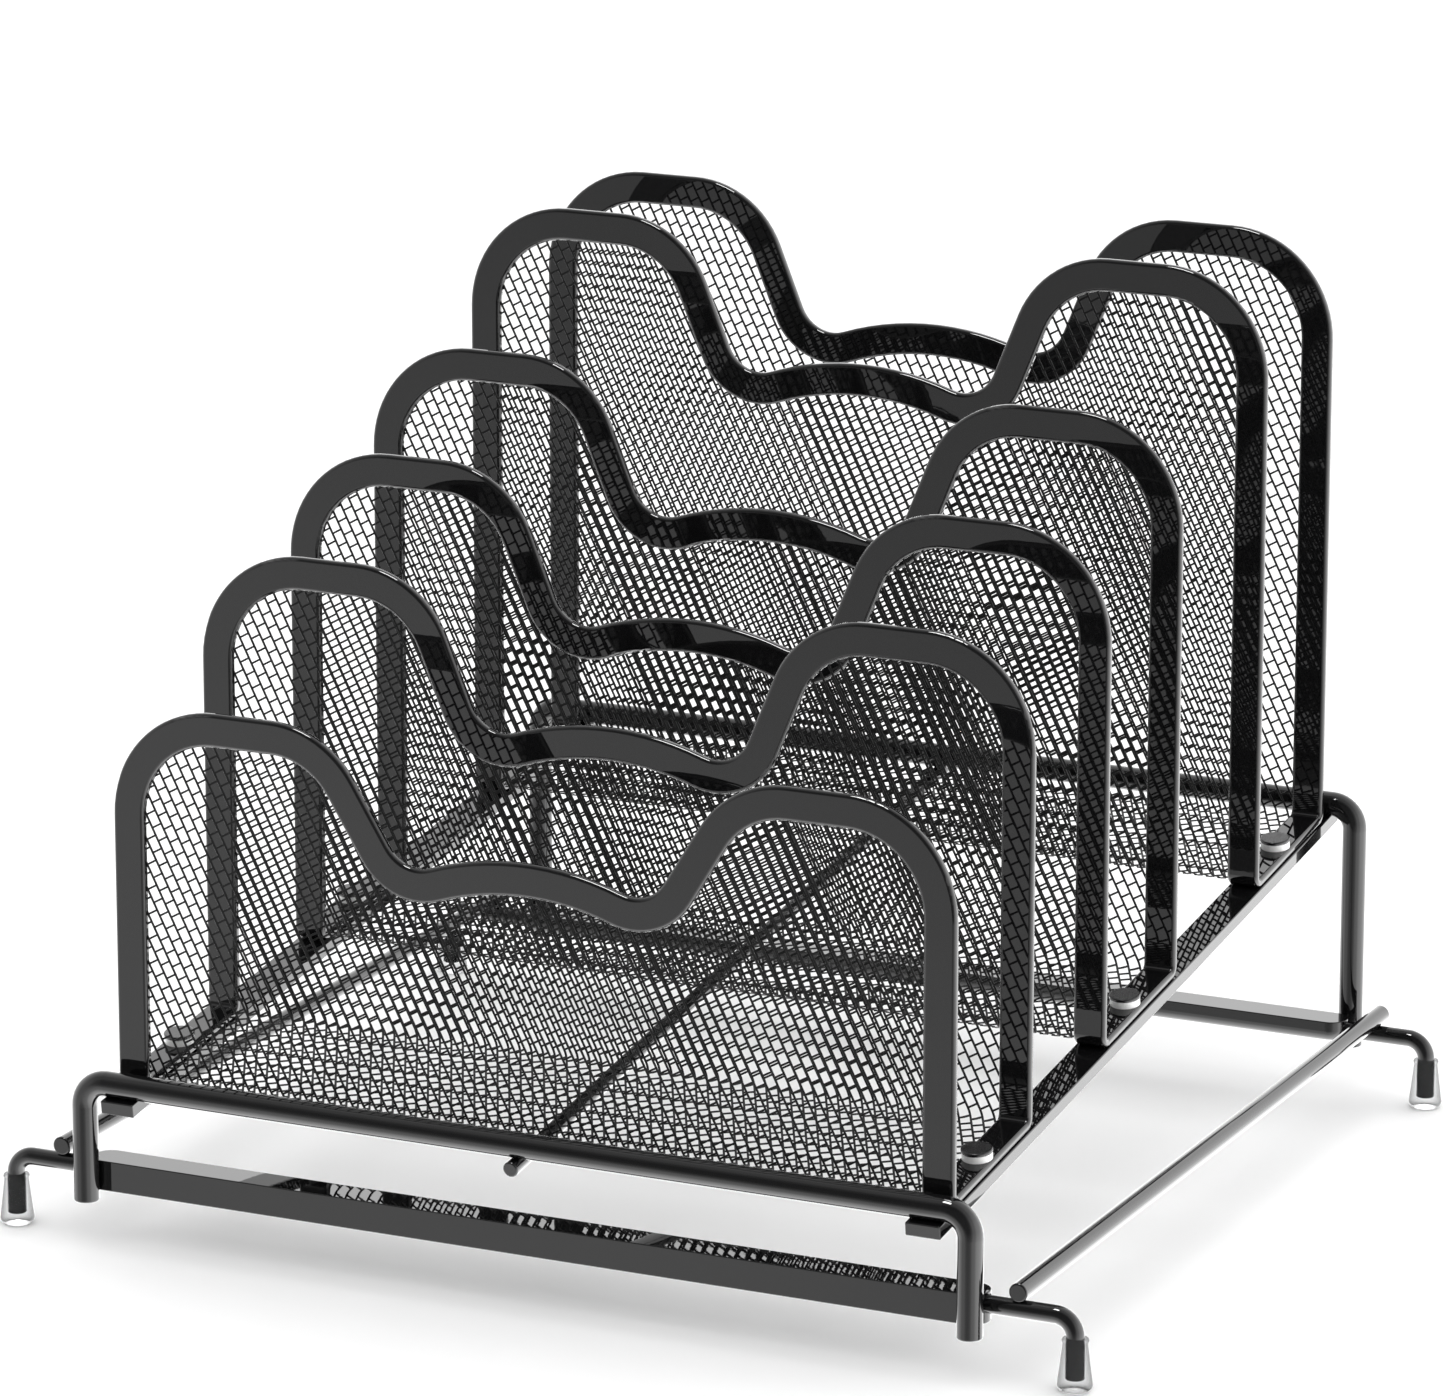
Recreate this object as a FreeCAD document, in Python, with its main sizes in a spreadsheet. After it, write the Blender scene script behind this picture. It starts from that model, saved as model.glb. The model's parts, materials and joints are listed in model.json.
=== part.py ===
import FreeCAD, Part

# Desktop file sorter: three mesh trays stepped up a welded rod frame on four clear feet.
#
# Frame of the part: +X right, +Y to the back, +Z up, millimetres.  The origin is on the table,
# midway between the left and right feet and midway along the depth.

import math
import os

import Sketcher
from FreeCAD import Vector

DRIVING = [
    # trays: each is one band bent to a U, with a mesh sheet folded inside it
    ("tray_width", 310.0),
    ("tray_depth", 66.4),
    ("band_width", 11.6),
    ("band_thick", 3.3),
    ("band_edge", 1.3),
    ("bend_outer", 4.8),
    ("mesh_thick", 0.9),
    ("incline", 7.73),
    # divider outline: round outer corner, flat hump, steep S, valley and a low centre arch
    ("corner_radius", 38.8),
    ("hump_centre", 94.8),
    ("hump_radius", 36.8),
    ("valley_centre", 39.6),
    ("valley_radius", 13.0),
    ("arch_radius", 106.0),
    ("valley_drop", 53.3),
    ("valley_drop_front", 44.5),
    # fronts of the trays, measured back from the middle of the depth
    ("front_tray_y", -166.5),
    ("middle_tray_y", -39.2),
    ("rear_tray_y", 101.6),
    # tops of the dividers above the lower front corner of their own tray
    ("front_tray_low", 135.7),
    ("front_tray_high", 175.5),
    ("middle_tray_low", 180.6),
    ("middle_tray_high", 205.6),
    ("rear_tray_low", 222.8),
    ("rear_tray_high", 225.1),
    # plane that the trays rest on: its level under the front tray's front face
    ("rest_level", 55.5),
    # leg hoops
    ("hoop_rod", 8.8),
    ("hoop_half_span", 164.2),
    ("hoop_bend", 8.6),
    ("hoop_foot_level", 15.9),
    ("front_hoop_y", -173.8),
    ("rear_hoop_y", 175.0),
    ("rod_end_round", 0.6),
    # how deep a rod sits in what it is welded to
    ("weld_seat", 0.3),
    # bars and rod under the trays
    ("bar_width", 12.4),
    ("bar_thick", 4.7),
    ("bar_edge", 0.4),
    ("bar_front_y", -178.6),
    ("bar_rear_y", 180.5),
    ("centre_rod_dia", 5.4),
    # crossbars between the legs; the foot wires come out above their middles
    ("crossbar_half", 166.8),
    ("crossbar_depth", 12.6),
    ("front_crossbar_height", 10.6),
    ("rear_crossbar_height", 8.0),
    ("front_crossbar_drop", 1.15),
    ("rear_crossbar_drop", 0.25),
    ("crossbar_edge", 0.3),
    ("rear_crossbar_belly", 4.4),
    # foot wires, side rods and caps
    ("wire_dia", 6.2),
    ("wire_level", 25.0),
    ("wire_bend", 7.0),
    ("wire_socket", 14.0),
    ("wire_end_level", 4.0),
    ("foot_half_span", 197.4),
    ("front_foot_y", -164.4),
    ("rear_foot_y", 164.4),
    ("side_rod_dia", 6.5),
    ("side_rod_half_span", 178.0),
    ("side_rod_front_y", -166.8),
    ("side_rod_rear_y", 169.5),
    ("cap_height", 17.7),
    ("cap_base_radius", 5.95),
    ("cap_neck_radius", 4.3),
    ("cap_rim_radius", 4.5),
    ("cap_rim_height", 1.1),
    ("cap_toe_radius", 2.4),
    # screws that hold the trays down
    ("head_dia", 10.8),
    ("head_height", 1.1),
    ("head_edge", 0.5),
    ("washer_dia", 10.4),
    ("washer_height", 2.5),
    ("shank_dia", 4.0),
    # how far a cutter runs past the metal it cuts
    ("cutter_spare", 10.0),
]

doc = FreeCAD.newDocument("file_sorter")
sheet = doc.addObject("Spreadsheet::Sheet", "Sizes")
for row, (alias, number) in enumerate(DRIVING, start=1):
    sheet.set("A%d" % row, alias)
    sheet.set("B%d" % row, "%g" % number)
    sheet.setAlias("B%d" % row, alias)
doc.recompute()

NODES = []


def size(alias):
    """Value of a driving dimension, read back from the sheet."""
    return float(sheet.get(alias))


def cells(expression):
    """Turn each <name> of an expression into a reference to its cell."""
    return expression.replace("<", "Sizes.").replace(">", "")


def size_of(expression):
    """Value of an expression, for the first position of the geometry."""
    result = sheet.evalExpression(cells(expression))
    return float(getattr(result, "Value", result))


def bind(thing, prop, expression):
    """Bind a property to an expression of driving dimensions."""
    thing.setExpression(prop, cells(expression))


def new_body(label):
    """An empty body that becomes one node."""
    body = doc.addObject("PartDesign::Body", label)
    body.Label = label
    NODES.append(body)
    return body


def origin_plane(body, role):
    """The body's own origin plane with the given role."""
    return next(f for f in body.Origin.OriginFeatures if f.Role == role)


def new_sketch(body, role, name, offset=None):
    """A sketch on an origin plane, moved along its normal by an optional expression."""
    sketch = body.newObject("Sketcher::SketchObject", name)
    sketch.AttachmentSupport = [(origin_plane(body, role), "")]
    sketch.MapMode = "FlatFace"
    if offset:
        bind(sketch, "AttachmentOffset.Base.z", offset)
    return sketch


def fix(sketch, kind, where, expression):
    """Add a dimension to a sketch and bind it."""
    index = sketch.addConstraint(Sketcher.Constraint(kind, *where, size_of(expression)))
    bind(sketch, "Constraints[%d]" % index, expression)


def fix_point(sketch, geo, vertex, x, y):
    """Fix one vertex of a curve by two expressions."""
    fix(sketch, "DistanceX", (-1, 1, geo, vertex), x)
    fix(sketch, "DistanceY", (-1, 1, geo, vertex), y)


def pad(body, sketch, name, length, backwards=False):
    """Pad a sketch by an expression."""
    feature = body.newObject("PartDesign::Pad", name)
    feature.Profile = sketch
    bind(feature, "Length", length)
    feature.Reversed = backwards
    doc.recompute()
    return feature


def place(body, x="0", y="0", z="0", tilt=None):
    """Put a body in the assembly; tilt turns it about X."""
    if tilt:
        body.Placement.Rotation = FreeCAD.Rotation(Vector(1, 0, 0), 1)
        bind(body, "Placement.Rotation.Angle", tilt)
    bind(body, "Placement.Base.x", x)
    bind(body, "Placement.Base.y", y)
    bind(body, "Placement.Base.z", z)


def circle_sketch(body, role, name, diameter, x="0", y="0", offset=None):
    """A sketch that holds one bound circle."""
    sketch = new_sketch(body, role, name, offset)
    centre = Vector(size_of(x), size_of(y), 0)
    sketch.addGeometry(Part.Circle(centre, Vector(0, 0, 1), size_of(diameter) / 2), False)
    fix_point(sketch, 0, 3, x, y)
    fix(sketch, "Radius", (0,), "(%s) / 2" % diameter)
    return sketch


def round_cutter(body, name, diameter, length, base, turn):
    """Cut a cylinder out of a body: a seat, a bore or a socket."""
    cutter = body.newObject("PartDesign::SubtractiveCylinder", name)
    bind(cutter, "Radius", "(%s) / 2" % diameter)
    bind(cutter, "Height", length)
    cutter.Placement = FreeCAD.Placement(base, turn)
    doc.recompute()
    return cutter


def round_edges(body, feature, name, chosen, radius):
    """Round the chosen edges of a body's last feature by an expression."""
    rounds = body.newObject("PartDesign::Fillet", name)
    rounds.Base = (feature, chosen)
    bind(rounds, "Radius", radius)
    doc.recompute()
    return rounds


def end_rims(shape):
    """Names of the rims between a rod's flat ends and its side."""
    names = []
    for number, edge in enumerate(shape.Edges, start=1):
        faces = shape.ancestorsOfType(edge, Part.Face)
        flat = [face for face in faces if isinstance(face.Surface, Part.Plane)]
        if len(flat) == 1:
            names.append("Edge%d" % number)
    return names


def sharp_edges(shape):
    """Names of the edges where two faces meet at a corner."""
    names = []
    for number, edge in enumerate(shape.Edges, start=1):
        middle = edge.valueAt((edge.FirstParameter + edge.LastParameter) / 2)
        normals = []
        for face in shape.ancestorsOfType(edge, Part.Face):
            u, v = face.Surface.parameter(middle)
            normals.append(face.normalAt(u, v))
        if len(normals) == 2 and normals[0].getAngle(normals[1]) > math.radians(20):
            names.append("Edge%d" % number)
    return names


def straight_rod(label, diameter, length):
    """A round rod along +Y from its own origin, with rounded ends."""
    body = new_body(label)
    sketch = circle_sketch(body, "XZ_Plane", label + "_section", diameter)
    rod = pad(body, sketch, label + "_rod", length, backwards=True)
    round_edges(body, rod, label + "_ends", end_rims(rod.Shape), "<rod_end_round>")
    return body


# ---- divider outline ------------------------------------------------------------------------

def outline_arcs(height, drop):
    """Centres, radii and joints of one outline, from the right foot to the left foot.

    The arcs share centres for every inset, so the inner edge is a true offset of the outer.
    """
    half = size("tray_width") / 2
    corner_r, hump_r = size("corner_radius"), size("hump_radius")
    valley_r, arch_r = size("valley_radius"), size("arch_radius")
    corner = Vector(half - corner_r, height - corner_r, 0)
    hump = Vector(size("hump_centre"), height - hump_r, 0)
    valley = Vector(size("valley_centre"), height - drop + valley_r, 0)
    reach = arch_r + valley_r
    arch = Vector(0, valley.y - math.sqrt(reach ** 2 - valley.x ** 2), 0)
    # the steep line crosses between the two circles, so its normal points away from the valley
    apart = hump - valley
    lean = math.acos(-(hump_r + valley_r) / apart.Length)
    steep = math.atan2(apart.y, apart.x) + lean
    rest = math.atan2(valley.y - arch.y, valley.x)
    return corner, hump, valley, arch, steep, rest


def draw_outline(sketch, height, drop, inset, foot):
    """Draw one outline and constrain it; returns the ids of the right and left foot lines."""
    rise, fall, inward = size_of(height), size_of(drop), size_of(inset)
    corner, hump, valley, arch, steep, rest = outline_arcs(rise, fall)
    half = size("tray_width") / 2 - inward
    corner_r = size("corner_radius") - inward
    hump_r = size("hump_radius") - inward
    valley_r = size("valley_radius") + inward
    arch_r = size("arch_radius") - inward
    foot_z = size_of(foot)
    on_hump = hump + Vector(math.cos(steep), math.sin(steep), 0) * hump_r
    on_valley = valley - Vector(math.cos(steep), math.sin(steep), 0) * valley_r

    def line(start, end, side):
        return Part.LineSegment(Vector(side * start.x, start.y, 0), Vector(side * end.x, end.y, 0))

    def arc(centre, radius, first, last, side):
        """An arc from angle first to last, mirrored for the left side."""
        if side < 0:
            first, last = math.pi - last, math.pi - first
        middle = Vector(side * centre.x, centre.y, 0)
        return Part.ArcOfCircle(Part.Circle(middle, Vector(0, 0, 1), radius), first, last)

    made = {}
    for side in (1, -1):
        pieces = [
            line(Vector(half, foot_z, 0), Vector(half, corner.y, 0), side),
            arc(corner, corner_r, 0, math.pi / 2, side),
            line(Vector(corner.x, rise - inward, 0), Vector(hump.x, rise - inward, 0), side),
            arc(hump, hump_r, math.pi / 2, steep, side),
            line(on_hump, on_valley, side),
            arc(valley, valley_r, math.pi + rest, math.pi + steep, side),
        ]
        made[side] = [sketch.addGeometry(piece, False) for piece in pieces]
    crown = sketch.addGeometry(arc(arch, arch_r, rest, math.pi - rest, 1), False)

    centres = (
        (1, "<tray_width> / 2 - <corner_radius>", "%s - <corner_radius>" % height,
         "<corner_radius> - (%s)" % inset),
        (3, "<hump_centre>", "%s - <hump_radius>" % height, "<hump_radius> - (%s)" % inset),
        (5, "<valley_centre>", "%s - %s + <valley_radius>" % (height, drop),
         "<valley_radius> + (%s)" % inset),
    )
    for side, ids in made.items():
        begin, finish = (1, 2) if side > 0 else (2, 1)
        upright, corner_arc, flat, hump_arc, slope, valley_arc = ids
        for place_in_chain, across, up, radius in centres:
            geo = ids[place_in_chain]
            fix_point(sketch, geo, 3, "%d * (%s)" % (side, across), up)
            fix(sketch, "Radius", (geo,), radius)
        for first, first_end, second, second_end in (
            (upright, 2, corner_arc, begin),
            (corner_arc, finish, flat, 1),
            (flat, 2, hump_arc, begin),
            (hump_arc, finish, slope, 1),
            (slope, 2, valley_arc, finish),
            (valley_arc, begin, crown, begin),
        ):
            sketch.addConstraint(
                Sketcher.Constraint("Tangent", first, first_end, second, second_end))
        sketch.addConstraint(Sketcher.Constraint("Vertical", upright))
        fix(sketch, "DistanceY", (-1, 1, upright, 1), foot)
    fix(sketch, "Radius", (crown,), "<arch_radius> - (%s)" % inset)
    return made[1][0], made[-1][0]


def close_foot(sketch, first, second):
    """Join the lower ends of two uprights with a straight line."""
    a = sketch.getPoint(first, 1)
    b = sketch.getPoint(second, 1)
    line = sketch.addGeometry(Part.LineSegment(a, b), False)
    sketch.addConstraint(Sketcher.Constraint("Coincident", first, 1, line, 1))
    sketch.addConstraint(Sketcher.Constraint("Coincident", second, 1, line, 2))


def band_ring(body, name, height, drop, foot, offset):
    """The band around one divider: left upright, top and right upright."""
    sketch = new_sketch(body, "XZ_Plane", name + "_outline", offset)
    outer = draw_outline(sketch, height, drop, "0", foot)
    inner = draw_outline(sketch, height, drop, "<band_width>", foot)
    close_foot(sketch, outer[0], inner[0])
    close_foot(sketch, outer[1], inner[1])
    return pad(body, sketch, name + "_pad", "<band_thick>", backwards=True)


def mesh_panel(body, name, height, drop, foot, offset):
    """The mesh sheet inside one divider's band."""
    sketch = new_sketch(body, "XZ_Plane", name + "_outline", offset)
    feet = draw_outline(sketch, height, drop, "<band_width>", foot)
    close_foot(sketch, *feet)
    return pad(body, sketch, name + "_pad", "<mesh_thick>", backwards=True)


# ---- tray floor -----------------------------------------------------------------------------

FRONT_FOOT = "<bend_outer> * (1 / cos(<incline> * 1deg) + tan(<incline> * 1deg))"
REAR_FOOT = ("(<tray_depth> - <bend_outer>) * tan(<incline> * 1deg)"
             " + <bend_outer> / cos(<incline> * 1deg)")


def floor_strip(body, name, near, far, offset):
    """Side profile of the bends and floor between two depths below the inner face."""
    sketch = new_sketch(body, "YZ_Plane", name + "_profile", offset)
    tilt = math.radians(size("incline"))
    bend = size("bend_outer")
    front = Vector(bend, size_of(FRONT_FOOT), 0)
    rear = Vector(size("tray_depth") - bend, size_of(REAR_FOOT), 0)
    down = -math.pi / 2 + tilt
    ids = {}
    for depth, text in ((size_of(near), near), (size_of(far), far)):
        radius = bend - depth
        under = Vector(math.cos(down), math.sin(down), 0) * radius
        arcs = [
            Part.ArcOfCircle(Part.Circle(front, Vector(0, 0, 1), radius), math.pi, 2 * math.pi + down),
            Part.LineSegment(front + under, rear + under),
            Part.ArcOfCircle(Part.Circle(rear, Vector(0, 0, 1), radius), down, 0),
        ]
        ids[text] = [sketch.addGeometry(piece, False) for piece in arcs]
        first, run, last = ids[text]
        for geo, across, up in ((first, "<bend_outer>", FRONT_FOOT),
                                (last, "<tray_depth> - <bend_outer>", REAR_FOOT)):
            fix_point(sketch, geo, 3, across, up)
            fix(sketch, "Radius", (geo,), "<bend_outer> - (%s)" % text)
        sketch.addConstraint(Sketcher.Constraint("Tangent", first, 2, run, 1))
        sketch.addConstraint(Sketcher.Constraint("Tangent", run, 2, last, 1))
    for end, point in ((0, 1), (2, 2)):
        a, b = ids[near][end], ids[far][end]
        line = sketch.addGeometry(
            Part.LineSegment(sketch.getPoint(a, point), sketch.getPoint(b, point)), False)
        sketch.addConstraint(Sketcher.Constraint("Coincident", a, point, line, 1))
        sketch.addConstraint(Sketcher.Constraint("Coincident", b, point, line, 2))
        sketch.addConstraint(Sketcher.Constraint("Horizontal", line))
    return sketch


def screw_spots():
    """Where the two screws of a tray stand: sides, depth and level in the tray's own frame."""
    across = (size("tray_width") - size("band_width")) / 2
    along = size("tray_depth") / 2
    return across, along, along * math.tan(math.radians(size("incline")))


def tray_border(label, low, high, drop):
    """One closed band: around both dividers and along both sides of the floor."""
    body = new_body(label)
    band_ring(body, label + "_front", low, drop, FRONT_FOOT, None)
    band_ring(body, label + "_back", high, "<valley_drop>", REAR_FOOT,
              "-(<tray_depth> - <band_thick>)")
    for side, offset in (("right", "<tray_width> / 2 - <band_width>"), ("left", "-<tray_width> / 2")):
        strip = floor_strip(body, "%s_%s" % (label, side), "0", "<band_thick>", offset)
        band = pad(body, strip, "%s_%s_floor" % (label, side), "<band_width>")
    round_edges(body, band, label + "_edges", sharp_edges(band.Shape), "<band_edge>")
    across, along, level = screw_spots()
    tilt = FreeCAD.Rotation(Vector(1, 0, 0), size("incline"))
    below = tilt.multVec(Vector(0, 0, -size("cutter_spare")))
    for side in (-1, 1):
        base = Vector(side * across, along, level) + below
        round_cutter(body, label + "_hole", "<shank_dia>", "<band_thick> + 2 * <cutter_spare>", base, tilt)
    return body


def tray_mesh(label, low, high, drop):
    """One sheet of mesh folded to a U, edge to edge with the inside of its band."""
    body = new_body(label)
    skin = "(<band_thick> - <mesh_thick>) / 2"
    mesh_panel(body, label + "_front", low, drop, FRONT_FOOT, "-" + skin)
    mesh_panel(body, label + "_back", high, "<valley_drop>", REAR_FOOT,
               "-(<tray_depth> - %s - <mesh_thick>)" % skin)
    strip = floor_strip(body, label + "_floor", skin, skin + " + <mesh_thick>",
                        "-(<tray_width> / 2 - <band_width>)")
    pad(body, strip, label + "_floor_pad", "<tray_width> - 2 * <band_width>")
    return body


# ---- frame ----------------------------------------------------------------------------------

BAR_RUN = "(<bar_rear_y> - <bar_front_y>) / cos(<incline> * 1deg)"
TRAY_FRONTS = ("front_tray_y", "middle_tray_y", "rear_tray_y")
HOOPS = ("front_hoop_y", "rear_hoop_y")
ACROSS = FreeCAD.Rotation(Vector(0, 1, 0), 90)


def plane_level(depth):
    """Level of the inclined plane that the trays rest on, at a depth; both are expressions."""
    return "<rest_level> + (<%s> - <front_tray_y>) * tan(<incline> * 1deg)" % depth


def hoop_level(depth):
    """Level of a hoop's top rail, sunk by the weld seat into the inclined bars."""
    return plane_level(depth) + " + (<hoop_rod> / 2 - <weld_seat>) / cos(<incline> * 1deg)"


def beside(corner, step, length):
    """The point a length away from a corner along a step, as a pair of expressions."""
    return tuple("%s + %d * %s" % (part, move, length) for part, move in zip(corner, step))


def rod_runs(corners, bend):
    """Straight runs between the corners, shortened by the bends; each end is two expressions."""
    points = [Vector(size_of(x), size_of(z), 0) for x, z in corners]
    runs = []
    for n in range(len(corners) - 1):
        along = (points[n + 1] - points[n]).normalize()
        step = (round(along.x), round(along.y))
        back = (-step[0], -step[1])
        start = corners[n] if n == 0 else beside(corners[n], step, bend)
        last = n == len(corners) - 2
        end = corners[n + 1] if last else beside(corners[n + 1], back, bend)
        runs.append((start, end))
    return runs


def bend_between(path, first, second, corner, radius):
    """The tangent arc that joins two runs at a right angle."""
    start, end = path.getPoint(first, 2), path.getPoint(second, 1)
    centre = start + end - corner
    middle = centre + (corner - centre).normalize() * radius
    bend = path.addGeometry(Part.Arc(start, middle, end), False)
    # a sketch keeps its arcs counter-clockwise, so the ends of a right-hand bend are swapped
    near = 1 if path.getPoint(bend, 1).distanceToPoint(start) < radius / 2 else 2
    path.addConstraint(Sketcher.Constraint("Tangent", first, 2, bend, near))
    path.addConstraint(Sketcher.Constraint("Coincident", bend, 3 - near, second, 1))


def bent_rod(label, diameter, bend, corners, section_role, section_at):
    """A round rod in the XZ plane: straight runs between corners, joined by tangent bends."""
    body = new_body(label)
    path = new_sketch(body, "XZ_Plane", label + "_path")
    for start, end in rod_runs(corners, bend):
        first, last = (Vector(size_of(x), size_of(z), 0) for x, z in (start, end))
        run = path.addGeometry(Part.LineSegment(first, last), False)
        fix_point(path, run, 1, *start)
        fix_point(path, run, 2, *end)
    for n in range(len(corners) - 2):
        corner = Vector(*(size_of(part) for part in corners[n + 1]), 0)
        bend_between(path, n, n + 1, corner, size_of(bend))
    section = circle_sketch(body, section_role, label + "_section", diameter, *section_at)
    pipe = body.newObject("PartDesign::AdditivePipe", label + "_sweep")
    pipe.Profile = section
    pipe.Spine = path
    doc.recompute()
    round_edges(body, pipe, label + "_ends", end_rims(pipe.Shape), "<rod_end_round>")
    return body


def leg_hoop(label, level):
    """An inverted U of rod: two short legs and the rail that the bars hang under."""
    left, right = "-<hoop_half_span>", "<hoop_half_span>"
    corners = [(left, "<hoop_foot_level>"), (left, level), (right, level), (right, "<hoop_foot_level>")]
    return bent_rod(label, "<hoop_rod>", "<hoop_bend>", corners, "XY_Plane",
                    (left, "0", "<hoop_foot_level>"))


def foot_wire(label, sign):
    """A wire out of the crossbar's end that turns down into a foot."""
    start = sign + "(<crossbar_half> - <wire_socket>)"
    reach = sign + "<foot_half_span>"
    corners = [(start, "<wire_level>"), (reach, "<wire_level>"), (reach, "<wire_end_level>")]
    return bent_rod(label, "<wire_dia>", "<wire_bend>", corners, "YZ_Plane",
                    ("0", "<wire_level>", start))


def crossbar(label, height, drop, belly):
    """A bar with round ends in plan, rounded underneath and drilled for the foot wires."""
    body = new_body(label)
    underside = "<wire_level> - %s - %s / 2" % (drop, height)
    plan = new_sketch(body, "XY_Plane", label + "_plan", underside)
    radius = size("crossbar_depth") / 2
    middle = size("crossbar_half") - radius
    plan.addGeometry(Part.LineSegment(Vector(-middle, -radius, 0), Vector(middle, -radius, 0)), False)
    right = Part.Circle(Vector(middle, 0, 0), Vector(0, 0, 1), radius)
    plan.addGeometry(Part.ArcOfCircle(right, -math.pi / 2, math.pi / 2), False)
    plan.addGeometry(Part.LineSegment(Vector(middle, radius, 0), Vector(-middle, radius, 0)), False)
    left = Part.Circle(Vector(-middle, 0, 0), Vector(0, 0, 1), radius)
    plan.addGeometry(Part.ArcOfCircle(left, math.pi / 2, 3 * math.pi / 2), False)
    for first, first_end, second, second_end in ((0, 2, 1, 1), (1, 2, 2, 1), (2, 2, 3, 1), (3, 2, 0, 1)):
        plan.addConstraint(Sketcher.Constraint("Tangent", first, first_end, second, second_end))
    fix(plan, "Radius", (1,), "<crossbar_depth> / 2")
    fix(plan, "DistanceX", (-1, 1, 1, 3), "<crossbar_half> - <crossbar_depth> / 2")
    fix(plan, "DistanceX", (-1, 1, 3, 3), "-(<crossbar_half> - <crossbar_depth> / 2)")
    plan.addConstraint(Sketcher.Constraint("PointOnObject", 1, 3, -1))
    bar = pad(body, plan, label + "_bar", height)
    upper, _ = rims_by_level(bar.Shape)
    crown = round_edges(body, bar, label + "_top_edges", upper, "<crossbar_edge>")
    _, lower = rims_by_level(crown.Shape)
    round_edges(body, crown, label + "_belly", lower, belly)
    for side in (-1, 1):
        inner = side * (size("crossbar_half") - size("wire_socket"))
        outer = side * (size("crossbar_half") + size("cutter_spare"))
        base = Vector(min(inner, outer), 0, size("wire_level"))
        round_cutter(body, label + "_socket", "<wire_dia>", "<wire_socket> + <cutter_spare>", base, ACROSS)
    return body


def rims_by_level(shape):
    """Names of a crossbar's sharp edges, those above the wires and those below."""
    level = size("wire_level")
    names = sharp_edges(shape)
    upper = [name for name in names if shape.getElement(name).CenterOfMass.z > level]
    return upper, [name for name in names if name not in upper]


def leg_seats(body, direction):
    """Shallow seats where the two legs are welded to a crossbar's face."""
    reach = (size("crossbar_depth") + size("hoop_rod")) / 2 - size("weld_seat")
    for side in (-1, 1):
        base = Vector(side * size("hoop_half_span"), direction * reach, 0)
        round_cutter(body, body.Label + "_seat", "<hoop_rod>", "2 * <wire_level>", base,
                     FreeCAD.Rotation())


def support_bar(label):
    """A flat bar up the incline, with three screw holes and a seat for each hoop."""
    body = new_body(label)
    sketch = new_sketch(body, "XY_Plane", label + "_plan", "-<bar_thick>")
    half = size("bar_width") / 2
    run = size_of(BAR_RUN)
    corners = [Vector(-half, 0, 0), Vector(half, 0, 0), Vector(half, run, 0), Vector(-half, run, 0)]
    for n in range(4):
        sketch.addGeometry(Part.LineSegment(corners[n], corners[(n + 1) % 4]), False)
        sketch.addConstraint(Sketcher.Constraint("Horizontal" if n % 2 == 0 else "Vertical", n))
    for n in range(4):
        sketch.addConstraint(Sketcher.Constraint("Coincident", n, 2, (n + 1) % 4, 1))
    fix(sketch, "DistanceX", (-1, 1, 0, 1), "-<bar_width> / 2")
    fix(sketch, "DistanceX", (-1, 1, 0, 2), "<bar_width> / 2")
    fix(sketch, "DistanceY", (-1, 1, 2, 1), BAR_RUN)
    sketch.addConstraint(Sketcher.Constraint("PointOnObject", 0, 1, -1))
    bar = pad(body, sketch, label + "_bar", "<bar_thick>")
    round_edges(body, bar, label + "_edges", sharp_edges(bar.Shape), "<bar_edge>")
    for tray_y in TRAY_FRONTS:
        spot = along_bar(size(tray_y) + screw_spots()[1])
        base = Vector(0, spot, -size("cutter_spare"))
        round_cutter(body, label + "_hole", "<shank_dia>", "2 * <cutter_spare>", base, FreeCAD.Rotation())
    hoop_seats(body, 0)
    return body


def along_bar(y):
    """Distance up the incline from the bars' front end to the point below depth y."""
    return (y - size("bar_front_y")) / math.cos(math.radians(size("incline")))


def hoop_seats(body, drop):
    """Seats for the hoops, cut across a bar or rod whose own origin is a drop below its top."""
    lift = size("hoop_rod") / 2 - size("weld_seat")
    reach = size("bar_width")
    for hoop_y in HOOPS:
        spot = along_bar(size(hoop_y)) + lift * math.tan(math.radians(size("incline")))
        base = Vector(-reach, spot, lift + drop)
        round_cutter(body, body.Label + "_seat", "<hoop_rod>", "2 * <bar_width>", base, ACROSS)


# ---- feet and fasteners ---------------------------------------------------------------------

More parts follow.
